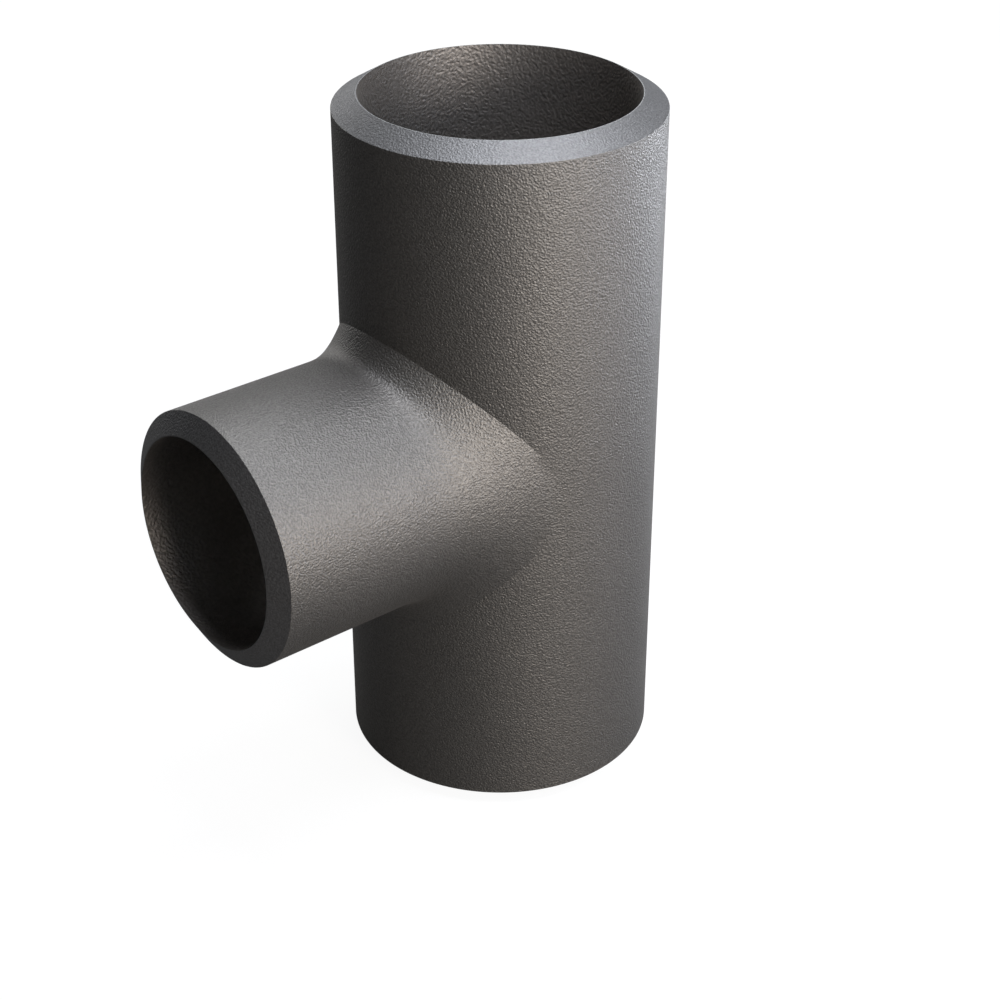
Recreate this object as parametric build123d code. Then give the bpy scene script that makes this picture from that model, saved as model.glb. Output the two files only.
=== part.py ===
from build123d import *
import math
import os

# Reducing butt weld tee with an extruded outlet: 33.7 mm run, 26.9 mm branch.
# Millimetres, +Z up along the run, +X out along the branch.
# The origin is the point where the two pipe axes cross.

# run pipe
RUN_OD = 33.7
RUN_WALL = 2.6
RUN_CENTRE_TO_END = 38.0

# branch pipe
BRANCH_OD = 26.9
BRANCH_WALL = 2.3
BRANCH_CENTRE_TO_END = 38.0

# weld preparation, the same on all three ends
BEVEL_ANGLE = 30.0
ROOT_FACE = 0.1

# The outlet is drawn out of the run, so the branch flares into it. The flare ends
# in a crease on the run, sharp above and below the branch and faint at its sides.
# length of the flare along the branch, measured from the side of the run
FLARE_LENGTH = 3.1
# how far the crease stands outside the branch, above and below it
CROTCH_SPREAD = 2.7
# the same at the sides, as a share of the room between branch and run
FLANK_SPREAD_SHARE = 0.795
# the bend of the flare lies at this share of its length, counted from the crease
CROTCH_BEND_SHARE = 0.48
FLANK_BEND_SHARE = 0.75
# tightness of that bend, where 1 is a parabola
BEND_WEIGHT = 1.9
# length by which the flare's skin runs on under the surface of the run
SKIN_OVERLAP = 0.4

# rounding of the edge where the two bores meet
INNER_CROTCH_RADIUS = 4.0

# number of sections and of rim points that carry the flare's skin
SECTION_COUNT = 36
RIM_POINT_COUNT = 72

RUN_RADIUS = RUN_OD / 2
RUN_BORE = RUN_RADIUS - RUN_WALL
BRANCH_RADIUS = BRANCH_OD / 2
BRANCH_BORE = BRANCH_RADIUS - BRANCH_WALL
FLARE_START = RUN_RADIUS + FLARE_LENGTH


def section_corners(angle):
    """The three corners of the flare's section at one angle round the branch.

    The angle is counted from the top. The section leaves the branch along it at
    the first corner, bends at the second and ends under the run at the third.
    """
    up = math.cos(angle)
    side = math.sin(angle)
    flank_spread = FLANK_SPREAD_SHARE * (RUN_RADIUS - BRANCH_RADIUS)
    spread = CROTCH_SPREAD * up**2 + flank_spread * side**2
    crease_radius = BRANCH_RADIUS + spread
    crease_x = math.sqrt(RUN_RADIUS**2 - (crease_radius * side) ** 2)
    bend = CROTCH_BEND_SHARE + (FLANK_BEND_SHARE - CROTCH_BEND_SHARE) * side**4
    bend_x = crease_x + bend * (FLARE_START - crease_x)
    overlap = SKIN_OVERLAP / math.hypot(bend_x - crease_x, spread)
    end_x = crease_x - overlap * (bend_x - crease_x)
    end_radius = crease_radius + overlap * spread

    def place(x, radius):
        return Vector(x, radius * side, radius * up)

    return (
        place(FLARE_START, BRANCH_RADIUS),
        place(bend_x, BRANCH_RADIUS),
        place(end_x, end_radius),
    )


def angles(count):
    """Evenly spaced angles once round the branch."""
    return [2 * math.pi * i / count for i in range(count)]


def branch_circle(x, radius):
    """A circle round the branch axis, started at the top as the sections are."""
    plane = Plane(origin=(x, 0, 0), x_dir=(0, 0, 1), z_dir=(-1, 0, 0))
    return Wire([Edge.make_circle(radius, plane)])


def flare():
    """The flare as a solid plug that reaches from the branch into the run."""
    weights = (1, BEND_WEIGHT, 1)
    sections = [
        Bezier(*section_corners(angle), weights=weights).edge()
        for angle in angles(SECTION_COUNT)
    ]
    mouth = branch_circle(FLARE_START, BRANCH_RADIUS).edge()
    rim_points = [section_corners(angle)[2] for angle in angles(RIM_POINT_COUNT)]
    turns = [i / RIM_POINT_COUNT for i in range(RIM_POINT_COUNT + 1)]
    root = Edge.make_spline(rim_points, periodic=True, parameters=turns)
    skin = Face.make_gordon_surface(sections + sections[:1], [mouth, root])

    # the skin's own rims close the plug, so that its faces meet edge to edge
    rims = skin.edges().filter_by(lambda edge: edge.is_closed).sort_by(Axis.X)
    root_rim = Wire([rims[0]])
    mouth_rim = Wire([rims[-1]])
    foot = branch_circle(0, BRANCH_BORE)
    wall = Shell.make_loft([root_rim, foot], True)
    return Solid(Shell([skin, Face(mouth_rim), Face(foot)] + wall.faces()))


def bored_core():
    """The hollow of the tee: both bores, rounded where they meet."""
    run_bore = Cylinder(RUN_BORE, 2 * RUN_CENTRE_TO_END)
    branch_bore = extrude(Plane.YZ * Circle(BRANCH_BORE), BRANCH_CENTRE_TO_END)
    hollow = run_bore + branch_bore
    plain = (GeomType.CIRCLE, GeomType.LINE)
    crotch = hollow.edges().filter_by(lambda edge: edge.geom_type not in plain)
    return fillet(crotch, INNER_CROTCH_RADIUS)


def bevel_cut(radius, wall, centre_to_end):
    """The metal that the weld bevel takes off an end, for a pipe along Z."""
    slope = math.tan(math.radians(BEVEL_ANGLE))
    root_radius = radius - wall + ROOT_FACE
    # the cut is drawn one wall past the outside so that nothing is left standing
    outer = radius + wall
    low = centre_to_end - (outer - root_radius) * slope
    top = centre_to_end + wall
    section = Polyline(
        (root_radius, 0, centre_to_end),
        (outer, 0, low),
        (outer, 0, top),
        (root_radius, 0, top),
        close=True,
    )
    return revolve(make_face(section), Axis.Z, 360)


def tee_body():
    """The tee: run, flare and branch in one piece, bored, with bevelled ends."""
    run = Cylinder(RUN_RADIUS, 2 * RUN_CENTRE_TO_END)
    branch_root = Plane.YZ.offset(FLARE_START)
    branch_length = BRANCH_CENTRE_TO_END - FLARE_START
    branch = extrude(branch_root * Circle(BRANCH_RADIUS), branch_length)
    body = run + flare() + branch - bored_core()

    run_cut = bevel_cut(RUN_RADIUS, RUN_WALL, RUN_CENTRE_TO_END)
    branch_cut = bevel_cut(BRANCH_RADIUS, BRANCH_WALL, BRANCH_CENTRE_TO_END)
    return body - run_cut - Rot(180, 0, 0) * run_cut - Rot(0, 90, 0) * branch_cut


os.makedirs("parts", exist_ok=True)
export_step(tee_body(), "parts/tee_body.step")
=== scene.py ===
import logging
import math
from dataclasses import dataclass, field
from enum import Enum

import bmesh
import bpy
from mathutils import Matrix, Vector


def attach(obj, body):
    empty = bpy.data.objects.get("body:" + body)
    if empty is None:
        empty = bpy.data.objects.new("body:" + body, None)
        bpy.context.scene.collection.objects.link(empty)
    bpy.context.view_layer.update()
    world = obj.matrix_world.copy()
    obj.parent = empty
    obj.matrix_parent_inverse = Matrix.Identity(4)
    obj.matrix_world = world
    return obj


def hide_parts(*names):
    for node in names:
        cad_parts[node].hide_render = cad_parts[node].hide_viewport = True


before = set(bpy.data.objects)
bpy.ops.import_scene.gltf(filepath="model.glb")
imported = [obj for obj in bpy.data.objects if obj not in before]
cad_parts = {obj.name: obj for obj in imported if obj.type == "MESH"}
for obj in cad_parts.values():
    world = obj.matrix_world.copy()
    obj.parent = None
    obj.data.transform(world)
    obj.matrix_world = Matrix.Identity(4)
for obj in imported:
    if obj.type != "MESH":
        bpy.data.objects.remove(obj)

log = logging.getLogger("tee")

MM = 0.001

# how far a cutting tool runs on past the end that it opens
CUT_PAST = 2 * MM
# spacing of the rows of the flare and of the inner crotch before they are set in place
FLARE_ROW_GAP = 1 * MM
CROTCH_ROW_GAP = 0.5 * MM
# how far the inner crotch's tool reaches into the open bore of the run
INTO_BORE = 0.5 * MM
# tolerances of the tests that tell rows, rims and skins apart
ROW_TOLERANCE = 0.001 * MM
RIM_TOLERANCE = 0.005 * MM
SKIN_TOLERANCE = 0.02 * MM
# least share of a normal along the pipe for a flat end and for a weld bevel
FLAT_END = 0.99
SLOPED_END = 0.3
# vertices closer than this are one, and edges shorter than this are none
MERGE_DISTANCE = 0.008 * MM
SHORTEST_EDGE = 0.001 * MM
# edges that turn by more than this stay sharp
SHARP_ANGLE = math.radians(12)


class Skin(Enum):
    """The kinds of surface on the tee, in the order of its material slots."""

    FORMED = 0
    BORE = 1
    BEVEL = 2
    ROOT = 3


def only(obj: bpy.types.Object) -> bpy.types.Object:
    """Makes one object the only selected one, and the active one.

    Args:
        obj: The object to work on.

    Returns:
        The same object.
    """
    bpy.ops.object.select_all(action="DESELECT")
    obj.select_set(True)
    bpy.context.view_layer.objects.active = obj
    return obj


@dataclass
class Pipe:
    """One leg of the tee, from the crossing of the axes to its bevelled end.

    Attributes:
        radius: Outside radius.
        bore: Inside radius.
        reach: Distance from the crossing of the axes to the end.
        root_face: Width of the flat ring that the weld bevel leaves at the bore.
        bevel_angle: Angle of the weld bevel from the plane of the end.
    """

    radius: float
    bore: float
    reach: float
    root_face: float = 0.1 * MM
    bevel_angle: float = math.radians(30)

    @property
    def root_radius(self) -> float:
        """Outside radius of the root face."""
        return self.bore + self.root_face

    @property
    def bevel_foot(self) -> float:
        """Distance from the crossing of the axes to where the bevel starts."""
        return self.reach - (self.radius - self.root_radius) * math.tan(self.bevel_angle)


@dataclass
class Flare:
    """The drawn-out root of the branch, which ends in a crease on the run.

    Attributes:
        start: Distance from the axis of the run to where the flare starts.
        crotch_spread: How far the crease stands outside the branch, above and
            below it.
        flank_spread_share: The same at its sides, as a share of the room
            between branch and run.
        crotch_bend: Place of the section's bend above and below the branch, as
            a share of the flare's length, counted from the crease.
        flank_bend: The same at the sides of the branch.
        bend_weight: Tightness of the bend, where 1 is a parabola.
        overlap: Length by which the skin runs on under the surface of the run.
    """

    start: float
    crotch_spread: float = 2.7 * MM
    flank_spread_share: float = 0.795
    crotch_bend: float = 0.48
    flank_bend: float = 0.75
    bend_weight: float = 1.9
    overlap: float = 0.4 * MM

    def corners(self, run: Pipe, branch: Pipe, angle: float) -> list[Vector]:
        """Finds the three corners of the flare's section at one angle.

        Args:
            run: The run of the tee.
            branch: The branch of the tee.
            angle: Angle round the branch, counted from the top.

        Returns:
            The corner on the branch, the bend, and the corner under the run.
        """
        up = math.cos(angle)
        side = math.sin(angle)
        flank_spread = self.flank_spread_share * (run.radius - branch.radius)
        spread = self.crotch_spread * up**2 + flank_spread * side**2
        crease = branch.radius + spread
        crease_x = math.sqrt(run.radius**2 - (crease * side) ** 2)
        bend = self.crotch_bend + (self.flank_bend - self.crotch_bend) * side**4
        bend_x = crease_x + bend * (self.start - crease_x)
        over = self.overlap / math.hypot(bend_x - crease_x, spread)
        end_x = crease_x - over * (bend_x - crease_x)
        end = crease + over * spread
        return [
            Vector((self.start, branch.radius * side, branch.radius * up)),
            Vector((bend_x, branch.radius * side, branch.radius * up)),
            Vector((end_x, end * side, end * up)),
        ]

    def point(self, run: Pipe, branch: Pipe, angle: float, share: float) -> Vector:
        """Finds a point of the flare's skin.

        Args:
            run: The run of the tee.
            branch: The branch of the tee.
            angle: Angle round the branch, counted from the top.
            share: Way along the section, from 0 on the branch to 1 under the run.

        Returns:
            The point.
        """
        first, middle, last = self.corners(run, branch, angle)
        a = (1 - share) ** 2
        b = 2 * share * (1 - share) * self.bend_weight
        c = share**2
        return (a * first + b * middle + c * last) / (a + b + c)


@dataclass
class Tee:
    """The reducing tee: run, flared branch and bores in one skin.

    Attributes:
        run: The straight pipe, along Z.
        branch: The smaller pipe, along X.
        flare: The root of the branch.
        inner_crotch: Radius of the rounding where the two bores meet.
        sides: Number of vertices round a pipe.
        flare_rows: Number of rows of faces along the flare.
        crotch_rows: Number of rows of faces along the inner crotch.
        edge_softness: Width of the rounding of the bevels' outer rims.
        edge_segments: Number of faces across that rounding.
    """

    run: Pipe = field(default_factory=lambda: Pipe(16.85 * MM, 14.25 * MM, 38 * MM))
    branch: Pipe = field(default_factory=lambda: Pipe(13.45 * MM, 11.15 * MM, 38 * MM))
    flare: Flare = field(default_factory=lambda: Flare(start=19.95 * MM))
    inner_crotch: float = 4 * MM
    sides: int = 256
    flare_rows: int = 20
    crotch_rows: int = 12
    edge_softness: float = 0.09 * MM
    edge_segments: int = 3

    def ring(self, centre: Vector, axis: Vector, radius: float, name: str) -> bpy.types.Object:
        """Adds a filled ring of vertices across an axis.

        Args:
            centre: Centre of the ring.
            axis: Direction that the ring faces, X or Z.
            radius: Radius of the ring.
            name: Name of the object.

        Returns:
            The new object, selected and active.
        """
        bpy.ops.object.select_all(action="DESELECT")
        turn = (0, math.pi / 2, 0) if axis.x else (0, 0, 0)
        bpy.ops.mesh.primitive_circle_add(
            vertices=self.sides,
            radius=radius,
            fill_type="NGON",
            location=centre,
            rotation=turn,
        )
        obj = bpy.context.object
        obj.name = name
        bpy.ops.object.transform_apply(location=True, rotation=True, scale=True)
        return obj

    def draw_out(self, axis: Vector, stations: list[tuple[float, float]]) -> None:
        """Draws the end face of the active mesh out through more stations.

        Args:
            axis: Direction of the pipe, X or Z.
            stations: Pairs of place along the axis and radius. The end face
                stands at the first of them.
        """
        bpy.ops.object.mode_set(mode="EDIT")
        bpy.ops.mesh.select_mode(type="FACE")
        bpy.ops.mesh.select_all(action="SELECT")
        for (place, radius), (next_place, next_radius) in zip(stations, stations[1:]):
            bpy.ops.mesh.extrude_region_move(
                TRANSFORM_OT_translate={"value": axis * (next_place - place)}
            )
            if not math.isclose(radius, next_radius):
                size = next_radius / radius
                scale = (1, size, size) if axis.x else (size, size, 1)
                bpy.ops.transform.resize(
                    value=scale,
                    center_override=axis * next_place,
                )
        bpy.ops.mesh.select_all(action="SELECT")
        bpy.ops.mesh.normals_make_consistent(inside=False)
        bpy.ops.object.mode_set(mode="OBJECT")

    def run_blank(self) -> bpy.types.Object:
        """Models the run as a solid bar with both weld bevels.

        Returns:
            The bar.
        """
        run = self.run
        up = Vector((0, 0, 1))
        bar = self.ring(up * -run.reach, up, run.root_radius, "run")
        stations = [
            (-run.reach, run.root_radius),
            (-run.bevel_foot, run.radius),
            (run.bevel_foot, run.radius),
            (run.reach, run.root_radius),
        ]
        self.draw_out(up, stations)
        return bar

    def branch_blank(self) -> bpy.types.Object:
        """Models the branch as a solid plug that flares out into the run.

        Returns:
            The plug.
        """
        branch = self.branch
        out = Vector((1, 0, 0))
        plug = self.ring(Vector(), out, branch.radius, "branch")
        shares = [1 - i / self.flare_rows for i in range(self.flare_rows + 1)]
        gap = FLARE_ROW_GAP
        stations = [(0, branch.radius)]
        stations += [(gap * (i + 1), branch.radius) for i in range(len(shares))]
        stations += [
            (branch.bevel_foot, branch.radius),
            (branch.reach, branch.root_radius),
        ]
        self.draw_out(out, stations)
        for vertex in plug.data.vertices:
            row = round(vertex.co.x / gap) - 1
            before_bevel = vertex.co.x < branch.bevel_foot - ROW_TOLERANCE
            if before_bevel and 0 <= row < len(shares):
                angle = math.atan2(vertex.co.y, vertex.co.z)
                vertex.co = self.flare.point(self.run, branch, angle, shares[row])
        return plug

    def run_core(self) -> bpy.types.Object:
        """Models the hollow of the run.

        Returns:
            The hollow as a solid.
        """
        up = Vector((0, 0, 1))
        past = self.run.reach + CUT_PAST
        core = self.ring(up * -past, up, self.run.bore, "run_core")
        self.draw_out(up, [(-past, self.run.bore), (past, self.run.bore)])
        return core

    def branch_core(self) -> bpy.types.Object:
        """Models the hollow of the branch, which opens round into the run.

        Returns:
            The hollow as a solid.
        """
        out = Vector((1, 0, 0))
        past = self.branch.reach + CUT_PAST
        core = self.ring(Vector(), out, self.branch.bore, "branch_core")
        rows = self.crotch_rows
        gap = CROTCH_ROW_GAP
        stations = [(0, self.branch.bore)]
        stations += [(gap * (i + 1), self.branch.bore) for i in range(rows + 2)]
        stations += [(past, self.branch.bore)]
        self.draw_out(out, stations)
        for vertex in core.data.vertices:
            row = round(vertex.co.x / gap) - 1
            if vertex.co.x < past - ROW_TOLERANCE and 0 <= row < rows + 2:
                angle = math.atan2(vertex.co.y, vertex.co.z)
                vertex.co = self.crotch_point(angle, (row - 1) / rows)
        return core

    def crotch_point(self, angle: float, share: float) -> Vector:
        """Finds a point of the rounding where the two bores meet.

        The rounding is what a ball leaves that rolls in the metal along both
        bores.

        Args:
            angle: Angle round the branch, counted from the top.
            share: Way along the rounding, from 0 on the run's bore to 1 on the
                branch's. Below 0 the point lies in the open bore of the run.

        Returns:
            The point.
        """
        side = math.sin(angle)
        up = math.cos(angle)
        off_branch = self.branch.bore + self.inner_crotch
        off_run = self.run.bore + self.inner_crotch
        x = math.sqrt(off_run**2 - (off_branch * side) ** 2)
        ball = Vector((x, off_branch * side, off_branch * up))
        on_branch = Vector((x, self.branch.bore * side, self.branch.bore * up))
        shrink = self.run.bore / off_run
        on_run = Vector((ball.x * shrink, ball.y * shrink, ball.z))
        if share < 0:
            inward = Vector((on_run.x, on_run.y, 0)).normalized()
            return on_run - inward * INTO_BORE
        start = (on_run - ball).normalized()
        end = (on_branch - ball).normalized()
        return ball + start.slerp(end, share) * self.inner_crotch

    def combine(self, body: bpy.types.Object, tool: bpy.types.Object, how: str) -> None:
        """Joins a tool to the body or cuts it out of the body.

        Args:
            body: The mesh that is kept.
            tool: The mesh that is used up.
            how: UNION or DIFFERENCE.
        """
        only(body)
        cut = body.modifiers.new(how.lower(), "BOOLEAN")
        cut.operation = how
        cut.solver = "EXACT"
        cut.object = tool
        bpy.ops.object.modifier_apply(modifier=cut.name)
        bpy.data.objects.remove(tool)

    def soften_rims(self, body: bpy.types.Object) -> None:
        """Rounds the rims of the three ends.

        Args:
            body: The tee.
        """
        only(body)
        bpy.ops.object.mode_set(mode="EDIT")
        bpy.ops.mesh.select_mode(type="EDGE")
        bpy.ops.mesh.select_all(action="DESELECT")
        mesh = bmesh.from_edit_mesh(body.data)
        for edge in mesh.edges:
            ends = [vertex.co for vertex in edge.verts]
            edge.select_set(self.on_outer_rim(ends[0]) and self.on_outer_rim(ends[1]))
        bmesh.update_edit_mesh(body.data)
        bpy.ops.mesh.bevel(
            offset=self.edge_softness,
            offset_type="WIDTH",
            segments=self.edge_segments,
            affect="EDGES",
        )
        bpy.ops.object.mode_set(mode="OBJECT")

    def on_outer_rim(self, place: Vector) -> bool:
        """Tells whether a point lies where a weld bevel meets the outside.

        Args:
            place: The point.

        Returns:
            True on the outer rim of one of the three bevels.
        """
        near = RIM_TOLERANCE
        at_run = abs(abs(place.z) - self.run.bevel_foot) < near
        at_branch = abs(place.x - self.branch.bevel_foot) < near
        off_run = abs(place.xy.length - self.run.radius) < near
        off_branch = abs(place.yz.length - self.branch.radius) < near
        return (at_run and off_run) or (at_branch and off_branch)

    def skin_of(self, face: bpy.types.MeshPolygon) -> Skin:
        """Tells which kind of surface a face belongs to.

        Args:
            face: A face of the finished tee.

        Returns:
            Its kind of surface.
        """
        place = face.center
        near = SKIN_TOLERANCE
        if abs(face.normal.z) > FLAT_END and abs(place.z) > self.run.reach - near:
            return Skin.ROOT
        if face.normal.x > FLAT_END and place.x > self.branch.reach - near:
            return Skin.ROOT
        if abs(place.z) > self.run.bevel_foot and abs(face.normal.z) > SLOPED_END:
            return Skin.BEVEL
        if place.x > self.branch.bevel_foot and face.normal.x > SLOPED_END:
            return Skin.BEVEL
        in_run = place.xy.length < self.run.bore + near
        in_branch = place.yz.length < self.branch.bore + self.inner_crotch + near
        facing_run = face.normal.xy.dot(place.xy) < 0
        facing_branch = face.normal.yz.dot(place.yz) < 0
        if (in_run and facing_run) or (in_branch and facing_branch):
            return Skin.BORE
        return Skin.FORMED

    def build(self) -> bpy.types.Object:
        """Models the tee.

        Returns:
            The finished mesh, with no material yet.
        """
        body = self.run_blank()
        self.combine(body, self.branch_blank(), "UNION")
        core = self.run_core()
        self.combine(core, self.branch_core(), "UNION")
        self.combine(body, core, "DIFFERENCE")
        only(body)
        bpy.ops.object.mode_set(mode="EDIT")
        bpy.ops.mesh.select_all(action="SELECT")
        bpy.ops.mesh.remove_doubles(threshold=MERGE_DISTANCE)
        bpy.ops.mesh.dissolve_degenerate(threshold=SHORTEST_EDGE)
        bpy.ops.object.mode_set(mode="OBJECT")
        self.soften_rims(body)
        body.name = "tee_skin"
        body.data.name = "tee_skin"
        bpy.ops.object.shade_smooth_by_angle(angle=SHARP_ANGLE)
        self.steady_shading(body)
        return body

    def steady_shading(self, body: bpy.types.Object) -> None:
        """Lets the large faces lead the shading where small ones meet them.

        Args:
            body: The tee, already shaded smooth with its sharp edges marked.
        """
        only(body)
        weight = body.modifiers.new("steady", "WEIGHTED_NORMAL")
        weight.keep_sharp = True
        bpy.ops.object.modifier_apply(modifier=weight.name)

    def dress(self, body: bpy.types.Object, finishes: "list[SteelFinish]") -> None:
        """Gives each surface of the tee its finish.

        Args:
            body: The finished mesh.
            finishes: One finish for each kind of surface, in their order.
        """
        body.data.materials.clear()
        for finish in finishes:
            body.data.materials.append(finish.material())
        for face in body.data.polygons:
            face.material_index = self.skin_of(face).value
        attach(body, "root")
        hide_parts("tee_body")


class GrainAndPitShadeGroup:
    """The fine orange-peel grain of formed steel, with painted shade in its hollows, shared by
    all the finishes.

    Attributes:
        name: Name of the node group.
        turn: Turn of the grain off the axes of the pipes, where the noise would
            show its lattice.
        distortion: How much the pebbles are pulled out of round.
        shade_range: The part of the noise that the painted shade of the grain's hollows is
            spread over.
        patch_scale: Scale of the patches, much coarser than the grain.
        patch_detail: Octaves of the patches.
    """

    name = "steel_grain_painted_pit_shade"
    turn = (math.radians(37), math.radians(31), math.radians(23))
    distortion = 0.3
    shade_range = (0.25, 0.75)
    patch_scale = 130
    patch_detail = 3

    @classmethod
    def tree(cls) -> bpy.types.NodeTree:
        """Builds the group once.

        Returns:
            The group, with inputs for its scale and outputs for its effects.
        """
        if cls.name in bpy.data.node_groups:
            return bpy.data.node_groups[cls.name]
        tree = bpy.data.node_groups.new(cls.name, "ShaderNodeTree")
        face = tree.interface
        face.new_socket("Scale", in_out="INPUT", socket_type="NodeSocketFloat")
        for name in ("Height", "Shade", "Patches"):
            face.new_socket(name, in_out="OUTPUT", socket_type="NodeSocketFloat")
        nodes, link = tree.nodes, tree.links.new
        given = nodes.new("NodeGroupInput")
        out = nodes.new("NodeGroupOutput")
        place = nodes.new("ShaderNodeTexCoord")

        turned = nodes.new("ShaderNodeMapping")
        turned.inputs["Rotation"].default_value = cls.turn
        link(place.outputs["Object"], turned.inputs["Vector"])

        pebbles = nodes.new("ShaderNodeTexNoise")
        pebbles.inputs["Detail"].default_value = 0
        pebbles.inputs["Distortion"].default_value = cls.distortion
        link(turned.outputs["Vector"], pebbles.inputs["Vector"])
        link(given.outputs["Scale"], pebbles.inputs["Scale"])
        link(pebbles.outputs["Fac"], out.inputs["Height"])

        # the shade darkens the colour where the grain is low: painted shade in the pits
        shade = nodes.new("ShaderNodeMapRange")
        shade.inputs["From Min"].default_value = cls.shade_range[0]
        shade.inputs["From Max"].default_value = cls.shade_range[1]
        link(pebbles.outputs["Fac"], shade.inputs["Value"])
        link(shade.outputs["Result"], out.inputs["Shade"])

        patches = nodes.new("ShaderNodeTexNoise")
        patches.inputs["Scale"].default_value = cls.patch_scale
        patches.inputs["Detail"].default_value = cls.patch_detail
        link(place.outputs["Object"], patches.inputs["Vector"])
        link(patches.outputs["Fac"], out.inputs["Patches"])
        return tree


@dataclass(frozen=True)
class SteelFinish:
    """One finish of the bare steel.

    Attributes:
        name: Name of the material.
        painted_hollow_shade: Colour in the hollows of the grain, darker there as painted shade
            of the pits.
        high: Colour on the heights of the grain.
        rough_low: Roughness of the smoothest patches.
        rough_high: Roughness of the roughest patches.
        grain_scale: Number of pebbles in a metre.
        grain_depth: Height of the grain.
        metallic: Share of the bare metal.
        specular: Specular level of the rest.
    """

    name: str
    painted_hollow_shade: tuple[float, float, float]
    high: tuple[float, float, float]
    rough_low: float
    rough_high: float
    grain_scale: float
    grain_depth: float
    metallic: float = 0.95
    specular: float = 0.2

    def material(self) -> bpy.types.Material:
        """Builds the material.

        Returns:
            The material.
        """
        made = bpy.data.materials.new(self.name)
        made.use_nodes = True
        nodes, link = made.node_tree.nodes, made.node_tree.links.new
        shader = nodes["Principled BSDF"]
        shader.inputs["Metallic"].default_value = self.metallic
        shader.inputs["Specular IOR Level"].default_value = self.specular

        grain = nodes.new("ShaderNodeGroup")
        grain.node_tree = GrainAndPitShadeGroup.tree()
        grain.inputs["Scale"].default_value = self.grain_scale

        # colour runs from the grain's hollows to its heights: painted shade in the hollows
        colour = nodes.new("ShaderNodeMix")
        colour.data_type = "RGBA"
        colour.inputs["A"].default_value = (*self.painted_hollow_shade, 1)
        colour.inputs["B"].default_value = (*self.high, 1)
        link(grain.outputs["Shade"], colour.inputs["Factor"])
        link(colour.outputs["Result"], shader.inputs["Base Color"])

        rough = nodes.new("ShaderNodeMapRange")
        rough.inputs["To Min"].default_value = self.rough_low
        rough.inputs["To Max"].default_value = self.rough_high
        link(grain.outputs["Patches"], rough.inputs["Value"])
        link(rough.outputs["Result"], shader.inputs["Roughness"])

        bump = nodes.new("ShaderNodeBump")
        bump.inputs["Distance"].default_value = self.grain_depth
        link(grain.outputs["Height"], bump.inputs["Height"])
        link(bump.outputs["Normal"], shader.inputs["Normal"])
        return made


# in each finish the hollow colour is darker than the height colour, as painted shade of the
# grain's pits
FORMED = SteelFinish(
    name="formed_steel",
    painted_hollow_shade=(0.137, 0.131, 0.125),
    high=(0.197, 0.189, 0.179),
    rough_low=0.52,
    rough_high=0.62,
    grain_scale=5200,
    grain_depth=0.07 * MM,
)
# bore steel: its own warm brown tint, made lighter than the formed steel as painted light
# inside the bore
BORE = SteelFinish(
    name="bore_steel_painted_light",
    painted_hollow_shade=(0.228, 0.211, 0.197),
    high=(0.276, 0.257, 0.241),
    rough_low=0.52,
    rough_high=0.62,
    grain_scale=3300,
    grain_depth=0.075 * MM,
)
BEVEL = SteelFinish(
    name="bevel_steel",
    painted_hollow_shade=(0.148, 0.146, 0.147),
    high=(0.207, 0.205, 0.207),
    rough_low=0.52,
    rough_high=0.62,
    grain_scale=5200,
    grain_depth=0.05 * MM,
)
ROOT = SteelFinish(
    name="root_face_steel",
    painted_hollow_shade=(0.2, 0.2, 0.2),
    high=(0.24, 0.24, 0.24),
    rough_low=0.46,
    rough_high=0.56,
    grain_scale=4600,
    grain_depth=0.02 * MM,
)


@dataclass(frozen=True)
class Softbox:
    """One soft lamp, aimed at the tee.

    Attributes:
        name: Name of the lamp.
        azimuth: Direction that it stands in, in degrees from X towards Y.
        elevation: Angle above the horizon in degrees.
        distance: Distance from the target.
        size: Diameter.
        power: Power in watts.
        colour: Colour of the light.
    """

    name: str
    azimuth: float
    elevation: float
    distance: float
    size: float
    power: float
    colour: tuple[float, float, float] = (1, 1, 1)

    def place(self, target: Vector) -> bpy.types.Object:
        """Adds the lamp.

        Args:
            target: The point that it is aimed at.

        Returns:
            The lamp.
        """
        data = bpy.data.lights.new(self.name, "AREA")
        data.shape = "DISK"
        data.size = self.size
        data.energy = self.power
        data.color = self.colour
        lamp = bpy.data.objects.new(self.name, data)
        lamp.visible_camera = False
        bpy.context.scene.collection.objects.link(lamp)
        turn = math.radians(self.azimuth)
        rise = math.radians(self.elevation)
        flat = math.cos(rise)
        way = Vector((math.cos(turn) * flat, math.sin(turn) * flat, math.sin(rise)))
        lamp.location = target + way * self.distance
        lamp.rotation_euler = way.to_track_quat("Z", "Y").to_euler()
        return lamp


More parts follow.
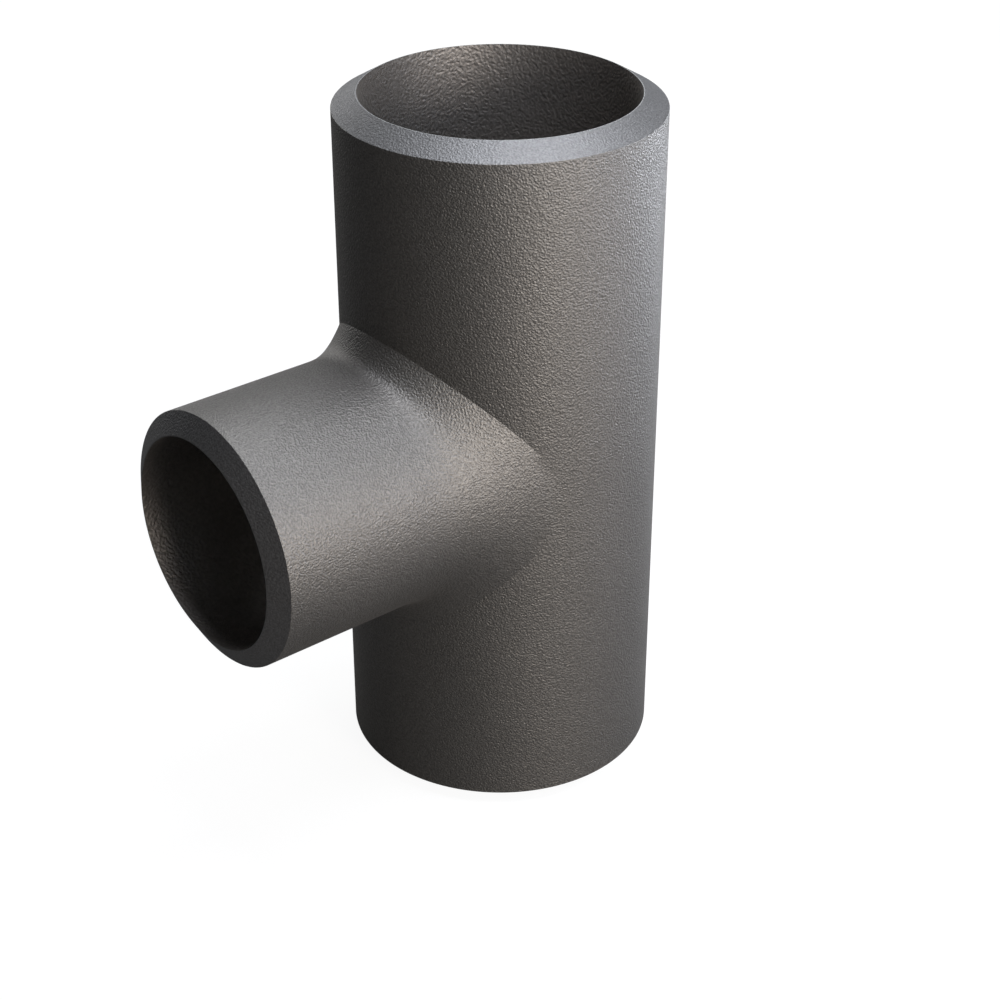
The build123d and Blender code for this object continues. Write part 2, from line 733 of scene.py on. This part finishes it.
@dataclass
class Studio:
    """The camera, the lamps, the white surroundings and the pale floor.

    Attributes:
        eye: Place of the camera.
        forward: Direction that the camera looks in.
        right: Direction to the right in its picture.
        lens: Focal length in millimetres.
        sensor: Width of the sensor in millimetres.
        clip: Nearest and farthest distance that the camera sees.
        gloss_share: Share of the white surroundings that the steel reflects.
        floor_height: Height of the floor, where the tee stands.
        floor_size: Side of the floor.
        floor_colour: Grey of the floor under the lamps.
        floor_glow: White that the floor adds to the camera near the tee.
        fade_start: Distance from the tee at which the glow starts to rise to 1.
        fade_end: Distance at which it is 1.
        softboxes: The lamps.
    """

    eye: tuple[float, float, float] = (126.588 * MM, 152.443 * MM, 106.285 * MM)
    forward: tuple[float, float, float] = (-0.55209, -0.66485, -0.50313)
    right: tuple[float, float, float] = (-0.76933, 0.63885, 0)
    lens: float = 74.735
    sensor: float = 36
    clip: tuple[float, float] = (0.01, 20)
    gloss_share: float = 0.06
    floor_height: float = -38 * MM
    floor_size: float = 6
    floor_colour: float = 0.1
    floor_glow: float = 0.93
    fade_start: float = 60 * MM
    fade_end: float = 220 * MM
    softboxes: tuple[Softbox, ...] = (
        Softbox("right_front", 86.8, 11.4, 0.350, 0.132, 0.885, (1.09, 1.0, 0.91)),
        Softbox("low_right", 122.0, 5.0, 0.120, 0.057, 0.028, (1.03, 0.97, 1.0)),
        Softbox("high_back", 220.0, 59.7, 0.185, 0.111, 0.190, (0.96, 1.0, 1.04)),
        Softbox("high_right", 97.3, 67.6, 0.156, 0.050, 0.123, (0.96, 0.99, 1.06)),
        Softbox("top", 16.3, 82.6, 0.264, 0.050, 0.156, (0.93, 0.98, 1.08)),
        Softbox("near_front", 62.1, 35.1, 0.120, 0.061, 0.010, (0.91, 0.99, 1.1)),
        Softbox("near_right", 115.1, 26.8, 0.120, 0.090, 0.045, (0.84, 0.98, 1.18)),
        Softbox("right_side", 165.8, 5.1, 0.173, 0.050, 0.203, (0.92, 0.99, 1.1)),
        Softbox("hidden_side", -95.0, 12.0, 0.800, 0.400, 1.280),
    )

    def camera(self) -> bpy.types.Object:
        """Adds the camera at the photograph's viewing angle.

        Returns:
            The camera.
        """
        data = bpy.data.cameras.new("camera")
        data.lens = self.lens
        data.sensor_width = self.sensor
        data.clip_start, data.clip_end = self.clip
        obj = bpy.data.objects.new("camera", data)
        bpy.context.scene.collection.objects.link(obj)
        ahead = Vector(self.forward).normalized()
        right = Vector(self.right).normalized()
        up = right.cross(ahead)
        turn = Matrix((right, up, -ahead)).transposed()
        obj.matrix_world = Matrix.Translation(self.eye) @ turn.to_4x4()
        bpy.context.scene.camera = obj
        return obj

    def floor(self) -> bpy.types.Object:
        """Adds the floor, which glows white to the camera and keeps the shadow.

        Returns:
            The floor.
        """
        bpy.ops.object.select_all(action="DESELECT")
        bpy.ops.mesh.primitive_plane_add(
            size=self.floor_size,
            location=(0, 0, self.floor_height),
        )
        plane = bpy.context.object
        plane.name = "floor"
        made = bpy.data.materials.new("floor_white")
        made.use_nodes = True
        nodes, link = made.node_tree.nodes, made.node_tree.links.new
        nodes.clear()
        out = nodes.new("ShaderNodeOutputMaterial")
        matt = nodes.new("ShaderNodeBsdfDiffuse")
        matt.inputs["Color"].default_value = (*[self.floor_colour] * 3, 1)
        glow = nodes.new("ShaderNodeEmission")
        place = nodes.new("ShaderNodeTexCoord")
        away = nodes.new("ShaderNodeVectorMath")
        away.operation = "LENGTH"
        link(place.outputs["Object"], away.inputs[0])
        fade = nodes.new("ShaderNodeMapRange")
        fade.interpolation_type = "SMOOTHSTEP"
        fade.inputs["From Min"].default_value = self.fade_start
        fade.inputs["From Max"].default_value = self.fade_end
        fade.inputs["To Min"].default_value = self.floor_glow
        link(away.outputs["Value"], fade.inputs["Value"])
        level = nodes.new("ShaderNodeMath")
        level.operation = "MULTIPLY"
        link(self.white_share(made.node_tree), level.inputs[0])
        link(fade.outputs["Result"], level.inputs[1])
        link(level.outputs[0], glow.inputs["Strength"])
        both = nodes.new("ShaderNodeAddShader")
        link(matt.outputs[0], both.inputs[0])
        link(glow.outputs[0], both.inputs[1])
        link(both.outputs[0], out.inputs["Surface"])
        plane.data.materials.append(made)
        return plane

    def surroundings(self) -> None:
        """Makes the world white to the camera, and the steel reflects a share of it."""
        world = bpy.data.worlds.new("surroundings")
        world.use_nodes = True
        nodes, link = world.node_tree.nodes, world.node_tree.links.new
        nodes.clear()
        out = nodes.new("ShaderNodeOutputWorld")
        white = nodes.new("ShaderNodeBackground")
        white.inputs["Color"].default_value = (1, 1, 1, 1)
        link(self.white_share(world.node_tree), white.inputs["Strength"])
        link(white.outputs[0], out.inputs["Surface"])
        bpy.context.scene.world = world

    def white_share(self, tree: bpy.types.NodeTree) -> bpy.types.NodeSocket:
        """Adds the nodes that say how much of the white each ray sees.

        The camera and glass see all of it, and the dark steel a share.

        Args:
            tree: The node tree of the floor or of the world.

        Returns:
            The socket that gives the share.
        """
        nodes, link = tree.nodes, tree.links.new
        rays = nodes.new("ShaderNodeLightPath")
        gloss = nodes.new("ShaderNodeMath")
        gloss.operation = "MULTIPLY"
        gloss.inputs[1].default_value = self.gloss_share
        link(rays.outputs["Is Glossy Ray"], gloss.inputs[0])
        clear = nodes.new("ShaderNodeMath")
        clear.operation = "MAXIMUM"
        link(rays.outputs["Is Camera Ray"], clear.inputs[0])
        link(rays.outputs["Is Transmission Ray"], clear.inputs[1])
        either = nodes.new("ShaderNodeMath")
        either.operation = "MAXIMUM"
        link(clear.outputs[0], either.inputs[0])
        link(gloss.outputs[0], either.inputs[1])
        return either.outputs[0]

    def build(self) -> None:
        """Sets up the whole studio."""
        bpy.context.scene.view_settings.view_transform = "Standard"
        self.camera()
        self.floor()
        self.surroundings()
        for softbox in self.softboxes:
            softbox.place(target=Vector())


def main() -> None:
    """Builds the tee and the studio."""
    logging.basicConfig(level=logging.INFO, format="%(message)s")
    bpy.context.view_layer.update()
    Studio().build()
    tee = Tee()
    body = tee.build()
    tee.dress(body, [FORMED, BORE, BEVEL, ROOT])
    log.info("%s: %d faces", body.name, len(body.data.polygons))


if __name__ == "__main__":
    main()
